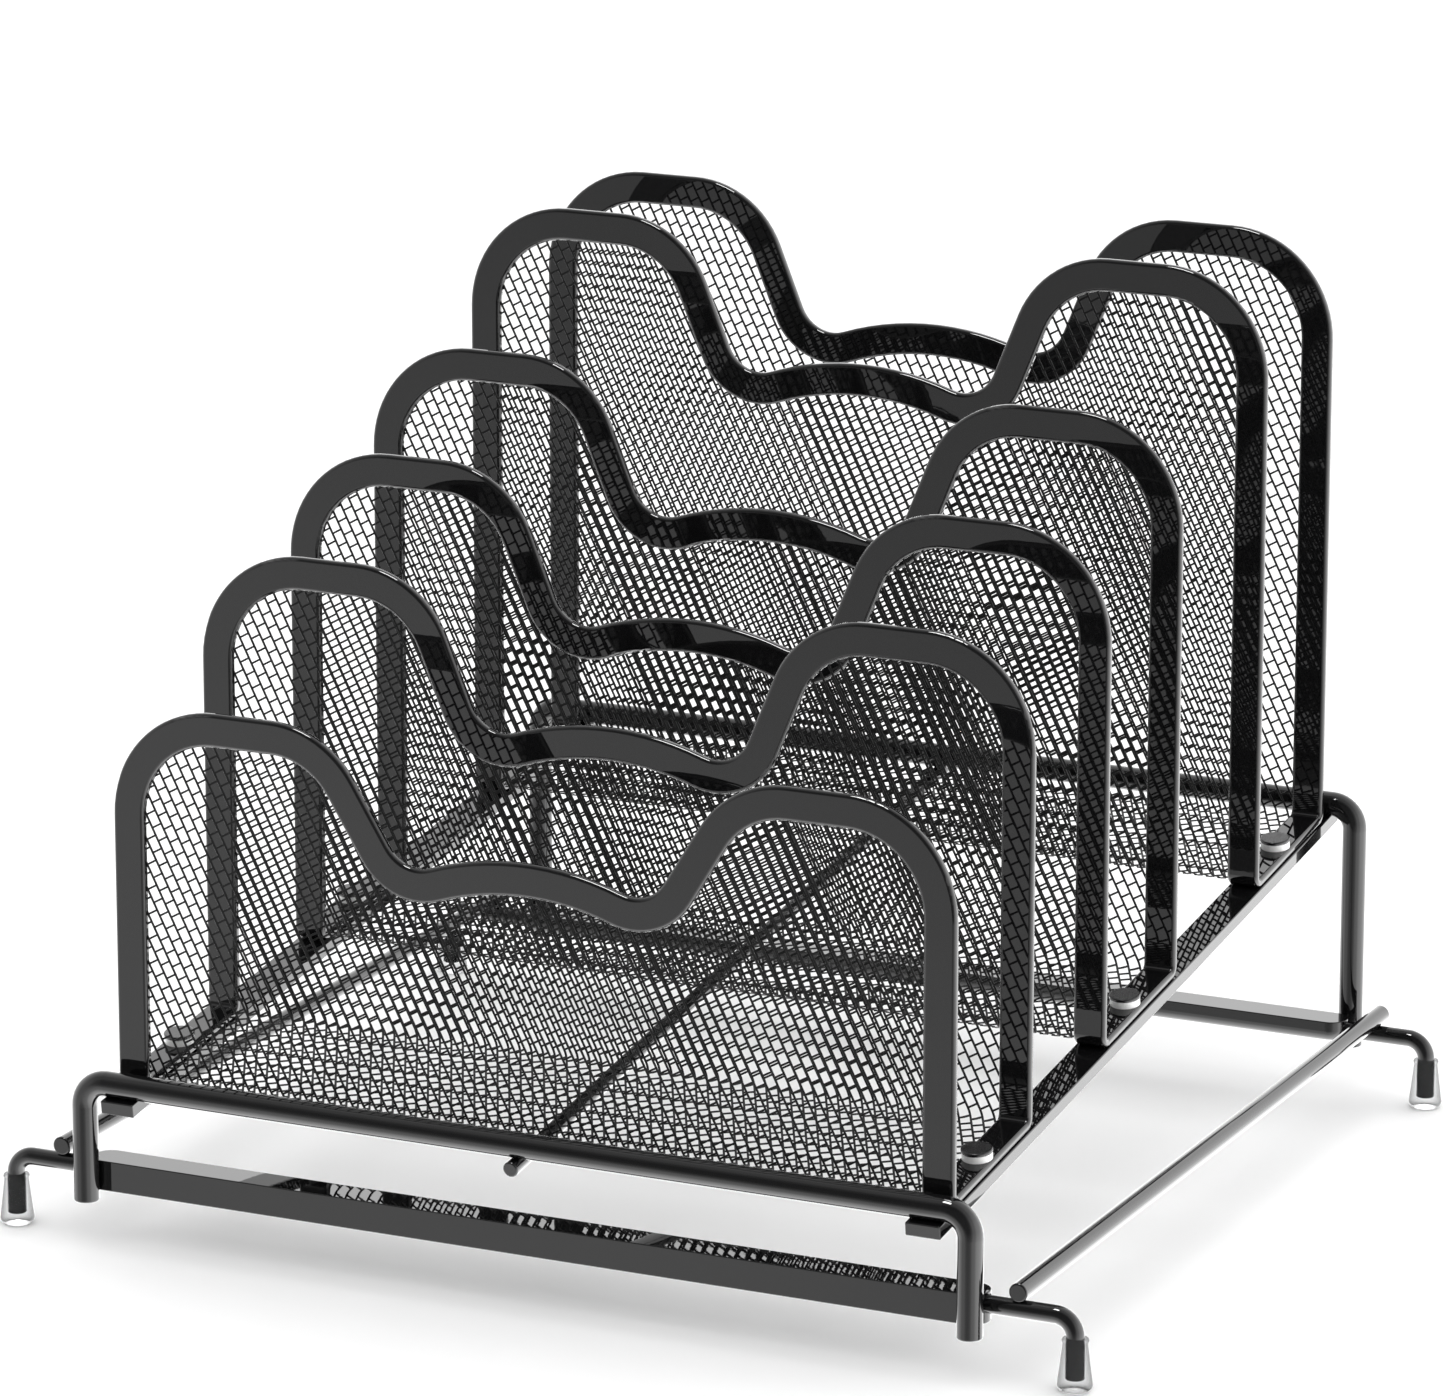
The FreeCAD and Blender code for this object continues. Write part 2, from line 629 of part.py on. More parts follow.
def foot_cap(label):
    """A clear cap: rolled rim, tapered skirt, rounded toe and a blind bore for the wire."""
    body = new_body(label)
    sketch = new_sketch(body, "XZ_Plane", label + "_profile")
    bore = "<wire_dia> / 2"
    collar = "<cap_height> - <cap_rim_height>"
    bulge = "(<cap_rim_radius> - <cap_neck_radius>)"
    corners = [
        ("0", "0"),
        ("<cap_base_radius> - <cap_toe_radius>", "0"),
        ("<cap_base_radius>", "<cap_toe_radius>"),
        ("<cap_neck_radius>", collar),
        ("<cap_neck_radius>", "<cap_height>"),
        (bore, "<cap_height>"),
        (bore, "<wire_end_level>"),
        ("0", "<wire_end_level>"),
    ]
    # radius of the two rounded stretches: the toe, and the rim that bulges past the neck
    rounded = {1: "<cap_toe_radius>", 3: "%s / 2 + (<cap_rim_height> ^ 2) / (8 * %s)" % (bulge, bulge)}
    points = [Vector(size_of(x), size_of(z), 0) for x, z in corners]
    for n, start in enumerate(points):
        end = points[(n + 1) % len(points)]
        if n in rounded:
            piece = outward_arc(start, end, size_of(rounded[n]))
        else:
            piece = Part.LineSegment(start, end)
        sketch.addGeometry(piece, False)
    for n, corner in enumerate(corners):
        fix_point(sketch, n, 1, *corner)
        sketch.addConstraint(Sketcher.Constraint("Coincident", n, 2, (n + 1) % len(corners), 1))
    for n, radius in rounded.items():
        fix(sketch, "Radius", (n,), radius)
    turned = body.newObject("PartDesign::Revolution", label + "_turned")
    turned.Profile = sketch
    turned.ReferenceAxis = (sketch, ["V_Axis"])
    turned.Angle = 360
    doc.recompute()
    return body


def outward_arc(start, end, radius):
    """The shorter counter-clockwise arc between two points, so that it bulges away from the axis."""
    chord = end - start
    inward = Vector(-chord.y, chord.x, 0).normalize()
    depth = math.sqrt(radius ** 2 - (chord.Length / 2) ** 2)
    centre = (start + end) / 2 + inward * depth
    first, last = (math.atan2(p.y - centre.y, p.x - centre.x) for p in (start, end))
    return Part.ArcOfCircle(Part.Circle(centre, Vector(0, 0, 1), radius), first, last)


def fastener_group(label, make_one):
    """Six identical fasteners, two to a tray, held as one node."""
    across, along, level = screw_spots()
    tilt = FreeCAD.Rotation(Vector(1, 0, 0), size("incline"))
    solids = []
    for tray_y in TRAY_FRONTS:
        rest = size_of(plane_level(tray_y))
        for side in (-1, 1):
            one = make_one()
            spot = Vector(side * across, size(tray_y) + along, rest + level)
            one.Placement = FreeCAD.Placement(spot, tilt)
            solids.append(one)
    group = doc.addObject("Part::Feature", label)
    group.Label = label
    group.Shape = Part.makeCompound(solids)
    NODES.append(group)
    return group


def one_screw():
    """A flat round head on a shank that goes down through the band and the bar."""
    up = size("band_thick") + size("washer_height")
    head = Part.makeCylinder(size("head_dia") / 2, size("head_height"), Vector(0, 0, up))
    rim = [e for e in head.Edges if e.Closed and e.CenterOfMass.z > up + size("head_height") / 2]
    head = head.makeFillet(size("head_edge"), rim)
    down = size("bar_thick")
    shank = Part.makeCylinder(size("shank_dia") / 2, up + down, Vector(0, 0, -down))
    return head.fuse(shank).removeSplitter().Solids[0]


def one_washer():
    """The white spacer ring between a screw's head and the band."""
    up = size("band_thick")
    ring = Part.makeCylinder(size("washer_dia") / 2, size("washer_height"), Vector(0, 0, up))
    bore = Part.makeCylinder(size("shank_dia") / 2, size("washer_height"), Vector(0, 0, up))
    return ring.cut(bore).Solids[0]


# ---- assembly -------------------------------------------------------------------------------

def build_trays():
    """Three trays, each a band and its mesh, standing on the inclined plane."""
    for name, low, high, drop in (
        ("front_tray", "<front_tray_low>", "<front_tray_high>", "<valley_drop_front>"),
        ("middle_tray", "<middle_tray_low>", "<middle_tray_high>", "<valley_drop>"),
        ("rear_tray", "<rear_tray_low>", "<rear_tray_high>", "<valley_drop>"),
    ):
        for body in (tray_border(name + "_border", low, high, drop),
                     tray_mesh(name + "_mesh", low, high, drop)):
            place(body, y="<%s_y>" % name, z=plane_level(name + "_y"))


def build_frame():
    """Two leg hoops, two crossbars, and the two bars and the rod that slope up between them."""
    for end in ("front", "rear"):
        hoop = leg_hoop(end + "_leg_hoop", hoop_level(end + "_hoop_y"))
        place(hoop, y="<%s_hoop_y>" % end)
    front = crossbar("front_crossbar", "<front_crossbar_height>", "<front_crossbar_drop>", "<crossbar_edge>")
    leg_seats(front, -1)
    rear = crossbar("rear_crossbar", "<rear_crossbar_height>", "<rear_crossbar_drop>",
                    "<rear_crossbar_belly>")
    leg_seats(rear, 1)
    touch = "(<crossbar_depth> + <hoop_rod>) / 2 - <weld_seat>"
    place(front, y="<front_hoop_y> + " + touch)
    place(rear, y="<rear_hoop_y> - (%s)" % touch)
    for side, sign in (("left", "-"), ("right", "")):
        bar = support_bar("support_bar_" + side)
        place(bar, x=sign + "(<tray_width> - <band_width>) / 2", y="<bar_front_y>",
              z=plane_level("bar_front_y"), tilt="<incline>")
    rod = straight_rod("centre_rod", "<centre_rod_dia>", BAR_RUN)
    hoop_seats(rod, size("centre_rod_dia") / 2)
    place(rod, y="<bar_front_y> + <centre_rod_dia> / 2 * sin(<incline> * 1deg)",
          z=plane_level("bar_front_y") + " - <centre_rod_dia> / 2 * cos(<incline> * 1deg)",
          tilt="<incline>")


def build_feet():
    """On each side: a wire and a clear cap at both ends, and the rod welded on top of the wires."""
    rod_lift = (size("wire_dia") + size("side_rod_dia")) / 2 - size("weld_seat")
    rod_level = "<wire_level> + (<wire_dia> + <side_rod_dia>) / 2 - <weld_seat>"
    for side, sign in (("left", "-"), ("right", "")):
        rod = straight_rod("side_rod_" + side, "<side_rod_dia>", "<side_rod_rear_y> - <side_rod_front_y>")
        for foot_y in ("front_foot_y", "rear_foot_y"):
            base = Vector(-size("cutter_spare"), size(foot_y) - size("side_rod_front_y"), -rod_lift)
            round_cutter(rod, rod.Label + "_seat", "<wire_dia>", "2 * <cutter_spare>", base, ACROSS)
        place(rod, x=sign + "<side_rod_half_span>", y="<side_rod_front_y>", z=rod_level)
        for end in ("front", "rear"):
            wire = foot_wire("foot_wire_%s_%s" % (end, side), sign)
            place(wire, y="<%s_foot_y>" % end)
            cap = foot_cap("foot_cap_%s_%s" % (end, side))
            place(cap, x=sign + "<foot_half_span>", y="<%s_foot_y>" % end)


def check_and_write():
    """Refuse failed or invalid objects, then write one STEP file for each node."""
    doc.recompute()
    for thing in doc.Objects:
        if any(state in ("Invalid", "Error") for state in thing.State):
            raise RuntimeError("%s failed: %s" % (thing.Label, thing.State))
    for node in NODES:
        if node.Shape.isNull() or not node.Shape.isValid():
            raise RuntimeError("%s has no valid shape" % node.Label)
    os.makedirs("parts", exist_ok=True)
    for node in NODES:
        node.Shape.exportStep("parts/%s.step" % node.Label)
        box = node.Shape.BoundBox
        print("%-26s solids %d volume %.0f  x %.1f..%.1f y %.1f..%.1f z %.1f..%.1f" % (
            node.Label, len(node.Shape.Solids), node.Shape.Volume,
            box.XMin, box.XMax, box.YMin, box.YMax, box.ZMin, box.ZMax))


build_trays()
build_frame()
build_feet()
fastener_group("tray_screws", one_screw)
fastener_group("screw_washers", one_washer)
check_and_write()
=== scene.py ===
import json
import math

import bpy
import numpy as np
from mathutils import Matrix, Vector


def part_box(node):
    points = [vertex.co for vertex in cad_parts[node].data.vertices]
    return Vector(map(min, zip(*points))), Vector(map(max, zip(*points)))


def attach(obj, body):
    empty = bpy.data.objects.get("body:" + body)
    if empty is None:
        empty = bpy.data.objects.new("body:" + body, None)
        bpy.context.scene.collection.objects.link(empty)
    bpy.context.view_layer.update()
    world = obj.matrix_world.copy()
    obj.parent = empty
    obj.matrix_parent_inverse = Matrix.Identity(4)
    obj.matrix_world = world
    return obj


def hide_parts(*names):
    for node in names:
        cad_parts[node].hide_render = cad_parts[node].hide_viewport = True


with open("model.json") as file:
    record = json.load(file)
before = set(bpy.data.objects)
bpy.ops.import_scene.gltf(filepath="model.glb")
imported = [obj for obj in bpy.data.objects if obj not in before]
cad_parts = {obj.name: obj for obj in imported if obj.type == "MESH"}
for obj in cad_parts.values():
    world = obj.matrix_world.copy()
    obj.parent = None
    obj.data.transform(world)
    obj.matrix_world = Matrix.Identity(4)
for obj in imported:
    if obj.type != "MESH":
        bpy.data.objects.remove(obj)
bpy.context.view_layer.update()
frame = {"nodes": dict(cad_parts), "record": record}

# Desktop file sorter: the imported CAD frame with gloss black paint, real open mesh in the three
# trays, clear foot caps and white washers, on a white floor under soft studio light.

MM = 0.001

# ---- sizes shared with the CAD model, in millimetres ----------------------------------------

TRAY_WIDTH = 310.0
TRAY_DEPTH = 66.4
BAND_WIDTH = 11.6
BAND_THICK = 3.3
BEND_OUTER = 4.8
INCLINE = math.radians(7.73)

CORNER_RADIUS = 38.8
HUMP_CENTRE, HUMP_RADIUS = 94.8, 36.8
VALLEY_CENTRE, VALLEY_RADIUS = 39.6, 13.0
ARCH_RADIUS = 106.0

REST_LEVEL = 55.5
FRONT_TRAY_Y = -166.5

# tray: depth of its front face, heights of its two dividers, and how far their valleys drop
TRAYS = {
    "front_tray": (-166.5, 135.7, 175.5, 44.5, 53.3),
    "middle_tray": (-39.2, 180.6, 205.6, 53.3, 53.3),
    "rear_tray": (101.6, 222.8, 225.1, 53.3, 53.3),
}

# ---- the mesh -------------------------------------------------------------------------------

CELL_LENGTH = 4.90      # along the long strands
CELL_WIDTH = 3.932      # between the long strands
ROW_SHIFT = 1.975       # how far each row of cross strands starts further along than the last
CROSS_LEAN = -0.18      # how far a cross strand ends short of square to the long strands
LONG_WIDTH, LONG_THICK = 0.76, 0.44
CROSS_WIDTH, CROSS_THICK = 0.68, 0.38
STRAND_CHAMFER = 0.10
HIDDEN_END = 1.2        # how far the strands run on inside the band
BEND_STEP = 1.0         # longest straight stretch of a strand inside a bend
BEND_MARGIN = 0.02      # a bend mark nearer to an end than this share of a strand is left out
TRIAL_STEP = 0.2        # spacing of the points that find where a strand meets the band
FEWEST_STEPS = 2        # a stretch of no more steps than this is left out
NO_RISE = 1e-9          # a strand that rises less than this is level

# the cells sit in level rows, which sets the slope of the long strands
SLOPE = math.atan2(CELL_WIDTH, ROW_SHIFT)
ALONG = np.array([math.cos(SLOPE), -math.sin(SLOPE)])
ACROSS = np.array([math.sin(SLOPE), math.cos(SLOPE)])
RUNG = ACROSS * CELL_WIDTH + ALONG * CROSS_LEAN
RUNG_LENGTH = float(np.hypot(*RUNG))


def arc_points(centre, radius, first, last, count=24):
    """Points on an arc between two angles."""
    angles = np.linspace(first, last, count)
    return np.column_stack([centre[0] + radius * np.cos(angles),
                            centre[1] + radius * np.sin(angles)])


def half_outline(top, drop, inset):
    """Right half of a divider's upper edge, from the middle outwards, as x and height."""
    half = TRAY_WIDTH / 2
    corner = np.array([half - CORNER_RADIUS, top - CORNER_RADIUS])
    hump = np.array([HUMP_CENTRE, top - HUMP_RADIUS])
    valley = np.array([VALLEY_CENTRE, top - drop + VALLEY_RADIUS])
    reach = ARCH_RADIUS + VALLEY_RADIUS
    arch = np.array([0.0, valley[1] - math.sqrt(reach ** 2 - valley[0] ** 2)])
    apart = hump - valley
    lean = math.acos(-(HUMP_RADIUS + VALLEY_RADIUS) / np.hypot(*apart))
    steep = math.atan2(apart[1], apart[0]) + lean
    rest = math.atan2(valley[1] - arch[1], valley[0])
    return np.vstack([
        arc_points(arch, ARCH_RADIUS - inset, math.pi / 2, rest),
        arc_points(valley, VALLEY_RADIUS + inset, math.pi + rest, math.pi + steep),
        arc_points(hump, HUMP_RADIUS - inset, steep, math.pi / 2),
        arc_points(corner, CORNER_RADIUS - inset, math.pi / 2, 0.0),
    ])


class Sheet:
    """One flat or folded sheet of mesh; v runs up the divider and is negative past the fold."""

    def __init__(self, face_y, foot, turn, top, drop, run):
        self.face_y = face_y            # outer face of the divider
        self.foot = foot                # level where the bend begins
        self.turn = turn                # +1 if the floor runs to the back, -1 if to the front
        self.sweep = math.pi / 2 + turn * INCLINE
        self.radius = BEND_OUTER - BAND_THICK / 2
        self.run = run                  # length of floor that belongs to this sheet
        edge = half_outline(top, drop, BAND_WIDTH - HIDDEN_END)
        self.edge_x, self.edge_v = edge[:, 0], edge[:, 1] - foot
        self.half = TRAY_WIDTH / 2 - BAND_WIDTH + HIDDEN_END

    def low(self):
        return -(self.radius * self.sweep + self.run)

    def inside(self, uv):
        """True for the points that lie within the band."""
        roof = np.interp(np.abs(uv[:, 0]), self.edge_x, self.edge_v)
        return (np.abs(uv[:, 0]) < self.half) & (uv[:, 1] < roof) & (uv[:, 1] > self.low())

    def place(self, uv, off):
        """Points of the sheet in the part's frame, off millimetres outside its middle."""
        v = uv[:, 1]
        bend = np.clip(-v / self.radius, 0.0, self.sweep)
        beyond = np.maximum(-v - self.radius * self.sweep, 0.0)
        reach = self.radius + off
        out = -np.cos(bend) * reach + np.sin(bend) * beyond
        down = -np.sin(bend) * reach - np.cos(bend) * beyond
        centre = self.face_y + self.turn * BEND_OUTER
        z = self.foot + np.maximum(v, 0.0) + down
        return np.column_stack([uv[:, 0], centre + self.turn * out, z]) * MM

    def bend_marks(self, a, b):
        """Fractions of a straight run from a to b where the fold makes it turn."""
        rise = b[1] - a[1]
        if abs(rise) < NO_RISE:
            return [0.0, 1.0]
        arc = self.radius * self.sweep
        steps = max(2, int(math.ceil(arc / BEND_STEP)))
        marks = [(level - a[1]) / rise for level in np.linspace(-arc, 0.0, steps + 1)]
        return [0.0] + sorted(m for m in marks if BEND_MARGIN < m < 1 - BEND_MARGIN) + [1.0]


class Mesh:
    """Vertices and faces of one piece while it is being made."""

    def __init__(self):
        self.verts = []
        self.faces = []
        self.count = 0

    def bar(self, sheet, a, b, side, profile):
        """A bar from a to b on a sheet; profile holds its section as (sideways, outward)."""
        marks = np.array(sheet.bend_marks(a, b))
        middle = a + np.outer(marks, b - a)
        sides = len(profile)
        rings = [sheet.place(middle + side * across, off) for across, off in profile]
        points = np.stack(rings, axis=1).reshape(-1, 3)
        start = self.count
        for n in range(len(marks) - 1):
            for k in range(sides):
                here, after = start + n * sides, start + (n + 1) * sides
                nxt = (k + 1) % sides
                self.faces.append((here + k, here + nxt, after + nxt, after + k))
        self.faces.append(tuple(start + k for k in reversed(range(sides))))
        last = start + (len(marks) - 1) * sides
        self.faces.append(tuple(last + k for k in range(sides)))
        self.verts.append(points)
        self.count += len(points)

    def build(self, name):
        """The finished Blender object."""
        data = bpy.data.meshes.new(name)
        data.from_pydata(np.vstack(self.verts).tolist(), [], self.faces)
        data.update()
        made = bpy.data.objects.new(name, data)
        bpy.context.scene.collection.objects.link(made)
        return made


def box_profile(width, thick, chamfer=0.0):
    """Corners of a flat strand's section, with or without broken edges."""
    w, t, c = width / 2, thick / 2, chamfer
    if not c:
        return [(-w, -t), (w, -t), (w, t), (-w, t)]
    return [(c - w, -t), (w - c, -t), (w, c - t), (w, t - c),
            (w - c, t), (c - w, t), (-w, t - c), (-w, c - t)]


def runs_inside(sheet, start, direction, length):
    """Stretches of a straight line that lie inside a sheet, as pairs of end points."""
    count = int(length / TRIAL_STEP) + 1
    points = start + np.outer(np.arange(count) * TRIAL_STEP, direction)
    inside = np.concatenate([[False], sheet.inside(points), [False]])
    turns = np.flatnonzero(inside[1:] != inside[:-1])
    for first, last in zip(turns[::2], turns[1::2]):
        if last - first > FEWEST_STEPS:
            yield points[first], points[last - 1]


def weave(mesh, sheet):
    """Fill a sheet with long strands and the short cross strands between them."""
    top = float(sheet.edge_v.max())
    corners = np.array([(x, v) for x in (-sheet.half, sheet.half) for v in (sheet.low(), top)])
    rows = corners @ ACROSS / CELL_WIDTH
    spots = corners @ ALONG
    long_profile = box_profile(LONG_WIDTH, LONG_THICK, STRAND_CHAMFER)
    cross_profile = box_profile(CROSS_WIDTH, CROSS_THICK)
    near, far = spots.min() - CELL_LENGTH, spots.max() + CELL_LENGTH
    for row in range(math.floor(rows.min()) - 1, math.ceil(rows.max()) + 2):
        line = ACROSS * CELL_WIDTH * row
        for a, b in runs_inside(sheet, line + ALONG * near, ALONG, far - near):
            mesh.bar(sheet, a, b, ACROSS, long_profile)
        shift = (ROW_SHIFT * row) % CELL_LENGTH
        count = np.arange(math.floor(near / CELL_LENGTH), math.ceil(far / CELL_LENGTH) + 1)
        starts = line + np.outer(count * CELL_LENGTH + shift, ALONG)
        ends = starts + RUNG
        whole = sheet.inside(starts) & sheet.inside(ends)
        part = (sheet.inside(starts) | sheet.inside(ends)) & ~whole
        for a, b in zip(starts[whole], ends[whole]):
            mesh.bar(sheet, a, b, ALONG, cross_profile)
        for a in starts[part]:
            for first, last in runs_inside(sheet, a, RUNG / RUNG_LENGTH, RUNG_LENGTH):
                mesh.bar(sheet, first, last, ALONG, cross_profile)


def tray_mesh(tray):
    """Both dividers and the floor of one tray as open mesh."""
    front_y, low, high, front_drop, back_drop = TRAYS[tray]
    level = REST_LEVEL + (front_y - FRONT_TRAY_Y) * math.tan(INCLINE)
    lift = BEND_OUTER / math.cos(INCLINE)
    front_foot = level + lift + BEND_OUTER * math.tan(INCLINE)
    back_foot = level + lift + (TRAY_DEPTH - BEND_OUTER) * math.tan(INCLINE)
    floor = (TRAY_DEPTH - 2 * BEND_OUTER) / math.cos(INCLINE)
    mesh = Mesh()
    weave(mesh, Sheet(front_y, front_foot, 1, level + low, front_drop, 0.0))
    weave(mesh, Sheet(front_y + TRAY_DEPTH, back_foot, -1, level + high, back_drop, floor))
    piece = mesh.build(tray + "_strands")
    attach(piece, "root")
    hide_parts(tray + "_mesh")
    return piece


# ---- clear foot caps ------------------------------------------------------------------------

CAP_SIDES = 64
CAP_HEIGHT = 17.7
CAP_BASE_RADIUS, CAP_TOE_RADIUS = 5.95, 2.4
CAP_NECK_RADIUS, CAP_RIM_RADIUS, CAP_RIM_HEIGHT = 4.3, 4.5, 1.1
CAP_FLOOR = 4.0             # solid plastic under the wire's end
CAP_LIP_RADIUS = 0.3        # rounding at the mouth of the bore
CAP_PIT_RADIUS = 0.5        # rounding at its bottom
WIRE_RADIUS = 3.1
BORE_CLEARANCE = 0.05       # the bore stays this far off the wire all round
UNDERSIDE_RECESS = 0.35     # how far the middle of the underside stands off the floor


def cap_profile():
    """Section of a cap from the middle of its underside, up its outside and down its bore."""
    bore = WIRE_RADIUS + BORE_CLEARANCE
    pit_level = CAP_FLOOR - BORE_CLEARANCE
    bulge = CAP_RIM_RADIUS - CAP_NECK_RADIUS
    rim_arc = bulge / 2 + CAP_RIM_HEIGHT ** 2 / (8 * bulge)
    reach = math.asin(CAP_RIM_HEIGHT / 2 / rim_arc)
    toe = arc_points((CAP_BASE_RADIUS - CAP_TOE_RADIUS, CAP_TOE_RADIUS), CAP_TOE_RADIUS,
                     -math.pi / 2, 0.0, 12)
    rim = arc_points((CAP_RIM_RADIUS - rim_arc, CAP_HEIGHT - CAP_RIM_HEIGHT / 2), rim_arc,
                     -reach, reach, 12)
    lip = arc_points((bore + CAP_LIP_RADIUS, CAP_HEIGHT - CAP_LIP_RADIUS), CAP_LIP_RADIUS,
                     math.pi / 2, math.pi, 6)
    pit = arc_points((bore - CAP_PIT_RADIUS, pit_level + CAP_PIT_RADIUS), CAP_PIT_RADIUS,
                     0.0, -math.pi / 2, 6)
    return np.vstack([[(0.0, UNDERSIDE_RECESS)], toe, rim, lip, pit, [(0.0, pit_level)]])


def foot_cap(node):
    """A turned clear cap that stands for one CAD cap."""
    low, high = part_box(node)
    centre = (np.array(low) + np.array(high)) / 2
    profile = cap_profile()
    angles = np.arange(CAP_SIDES) * 2 * math.pi / CAP_SIDES
    inner = profile[1:-1]
    verts = [(centre[0], centre[1], low[2] + profile[0][1] * MM)]
    for r, z in inner:
        for angle in angles:
            verts.append((centre[0] + r * MM * math.cos(angle),
                          centre[1] + r * MM * math.sin(angle), low[2] + z * MM))
    verts.append((centre[0], centre[1], low[2] + profile[-1][1] * MM))
    faces = []
    for k in range(CAP_SIDES):
        after = (k + 1) % CAP_SIDES
        faces.append((0, 1 + after, 1 + k))
        for n in range(len(inner) - 1):
            a, b = 1 + n * CAP_SIDES, 1 + (n + 1) * CAP_SIDES
            faces.append((a + k, a + after, b + after, b + k))
        last = 1 + (len(inner) - 1) * CAP_SIDES
        faces.append((last + k, last + after, len(verts) - 1))
    data = bpy.data.meshes.new(node + "_clear")
    data.from_pydata(verts, [], faces)
    data.polygons.foreach_set("use_smooth", [True] * len(data.polygons))
    data.update()
    piece = bpy.data.objects.new(node + "_clear", data)
    bpy.context.scene.collection.objects.link(piece)
    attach(piece, "root")
    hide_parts(node)
    return piece


# ---- materials ------------------------------------------------------------------------------

# finishes of the black paint: its depth of colour, roughness, orange peel and refraction
GLOSS_PAINT = dict(depth=(0.0035, 0.0062), rough=(0.0, 0.03), peel=0.03, ior=1.52)
MESH_PAINT = dict(depth=(0.0018, 0.0034), rough=(0.36, 0.50), peel=0.05, ior=1.28)
HEAD_PAINT = dict(depth=(0.0035, 0.0062), rough=(0.14, 0.26), peel=0.08, ior=1.52)
PAINT_BLUE = 1.05           # blue against red and green in the black
PEEL_DEPTH = 0.0001         # metres

# clear plastic, which bends light very little, with painted shade that darkens its colour towards
# its outline
CLEAR_TINTS = ((0.84, 0.845, 0.85), (0.90, 0.905, 0.91))
CLEAR_ROUGH = (0.0, 0.03)
CLEAR_IOR = 1.06
# the painted shade at the outline: how quickly it sets in, and the black it turns to
CLEAR_OUTLINE_SHADE_POWER = 1.0
CLEAR_OUTLINE_PAINTED_SHADE = (0.0, 0.0, 0.0)

WASHER_WHITES = ((0.84, 0.84, 0.83), (0.91, 0.91, 0.90))
WASHER_ROUGH = (0.25, 0.42)
WASHER_MARKS, WASHER_MARK_DEPTH = 0.10, 0.00005

FLOOR_WHITES = ((0.92, 0.92, 0.92), (0.94, 0.94, 0.94))
FLOOR_ROUGH = 0.9


def new_material(name):
    """A node material with its Principled shader and its object coordinates."""
    made = bpy.data.materials.new(name)
    made.use_nodes = True
    tree = made.node_tree
    shader = next(n for n in tree.nodes if n.type == "BSDF_PRINCIPLED")
    coords = tree.nodes.new("ShaderNodeTexCoord")
    return made, tree, shader, coords.outputs["Object"]


def noise(tree, coords, scale, detail=2.0):
    """Noise value at a scale in cycles per metre."""
    node = tree.nodes.new("ShaderNodeTexNoise")
    node.inputs["Scale"].default_value = scale
    node.inputs["Detail"].default_value = detail
    tree.links.new(coords, node.inputs["Vector"])
    return node.outputs["Fac"]


def ramp_between(tree, value, low, high):
    """Map a 0..1 value to a range."""
    node = tree.nodes.new("ShaderNodeMapRange")
    node.inputs["To Min"].default_value = low
    node.inputs["To Max"].default_value = high
    tree.links.new(value, node.inputs["Value"])
    return node.outputs["Result"]


def mix_colours(tree, value, first, second):
    """Blend two colours by a 0..1 value."""
    node = tree.nodes.new("ShaderNodeMix")
    node.data_type = "RGBA"
    colours = [s for s in node.inputs if s.type == "RGBA"]
    colours[0].default_value = (*first, 1.0)
    colours[1].default_value = (*second, 1.0)
    tree.links.new(value, node.inputs["Factor"])
    return next(s for s in node.outputs if s.type == "RGBA")


def bump(tree, height, strength, distance):
    """A bump normal from a height value."""
    node = tree.nodes.new("ShaderNodeBump")
    node.inputs["Strength"].default_value = strength
    node.inputs["Distance"].default_value = distance
    tree.links.new(height, node.inputs["Height"])
    return node.outputs["Normal"]


def math_node(tree, operation, *values):
    """A Math node of sockets or numbers."""
    node = tree.nodes.new("ShaderNodeMath")
    node.operation = operation
    for socket, value in zip(node.inputs, values):
        if isinstance(value, (int, float)):
            socket.default_value = value
        else:
            tree.links.new(value, socket)
    return node.outputs["Value"]


def black_paint(name, depth, rough, peel, ior):
    """Black paint with slight orange peel and faint changes of depth and polish."""
    made, tree, shader, coords = new_material(name)
    patches = noise(tree, coords, 35.0, 3.0)
    dark, light = [(level, level, PAINT_BLUE * level) for level in depth]
    tree.links.new(mix_colours(tree, patches, dark, light), shader.inputs["Base Color"])
    tree.links.new(ramp_between(tree, noise(tree, coords, 180.0, 4.0), *rough),
                   shader.inputs["Roughness"])
    tree.links.new(bump(tree, noise(tree, coords, 260.0), peel, PEEL_DEPTH),
                   shader.inputs["Normal"])
    shader.inputs["IOR"].default_value = ior
    return made


def clear_plastic(name):
    """Clear soft plastic, its colour darkened towards the outline by painted shade, with faint
    changes of tint and polish.
    """
    made, tree, shader, coords = new_material(name)
    body = mix_colours(tree, noise(tree, coords, 120.0), *CLEAR_TINTS)
    # painted shade: the base colour turns black where the surface is seen edge-on, standing in
    # for the dark outline of the clear cap
    rim = tree.nodes.new("ShaderNodeLayerWeight")
    painted_shade_share = math_node(tree, "POWER", rim.outputs["Facing"], CLEAR_OUTLINE_SHADE_POWER)
    tint_and_painted_outline = mix_colours(tree, painted_shade_share, CLEAR_TINTS[1], CLEAR_OUTLINE_PAINTED_SHADE)
    tree.links.new(body, next(s for s in tint_and_painted_outline.node.inputs if s.type == "RGBA"))
    tree.links.new(tint_and_painted_outline, shader.inputs["Base Color"])
    tree.links.new(ramp_between(tree, noise(tree, coords, 300.0, 3.0), *CLEAR_ROUGH),
                   shader.inputs["Roughness"])
    shader.inputs["Transmission Weight"].default_value = 1.0
    shader.inputs["IOR"].default_value = CLEAR_IOR
    return made


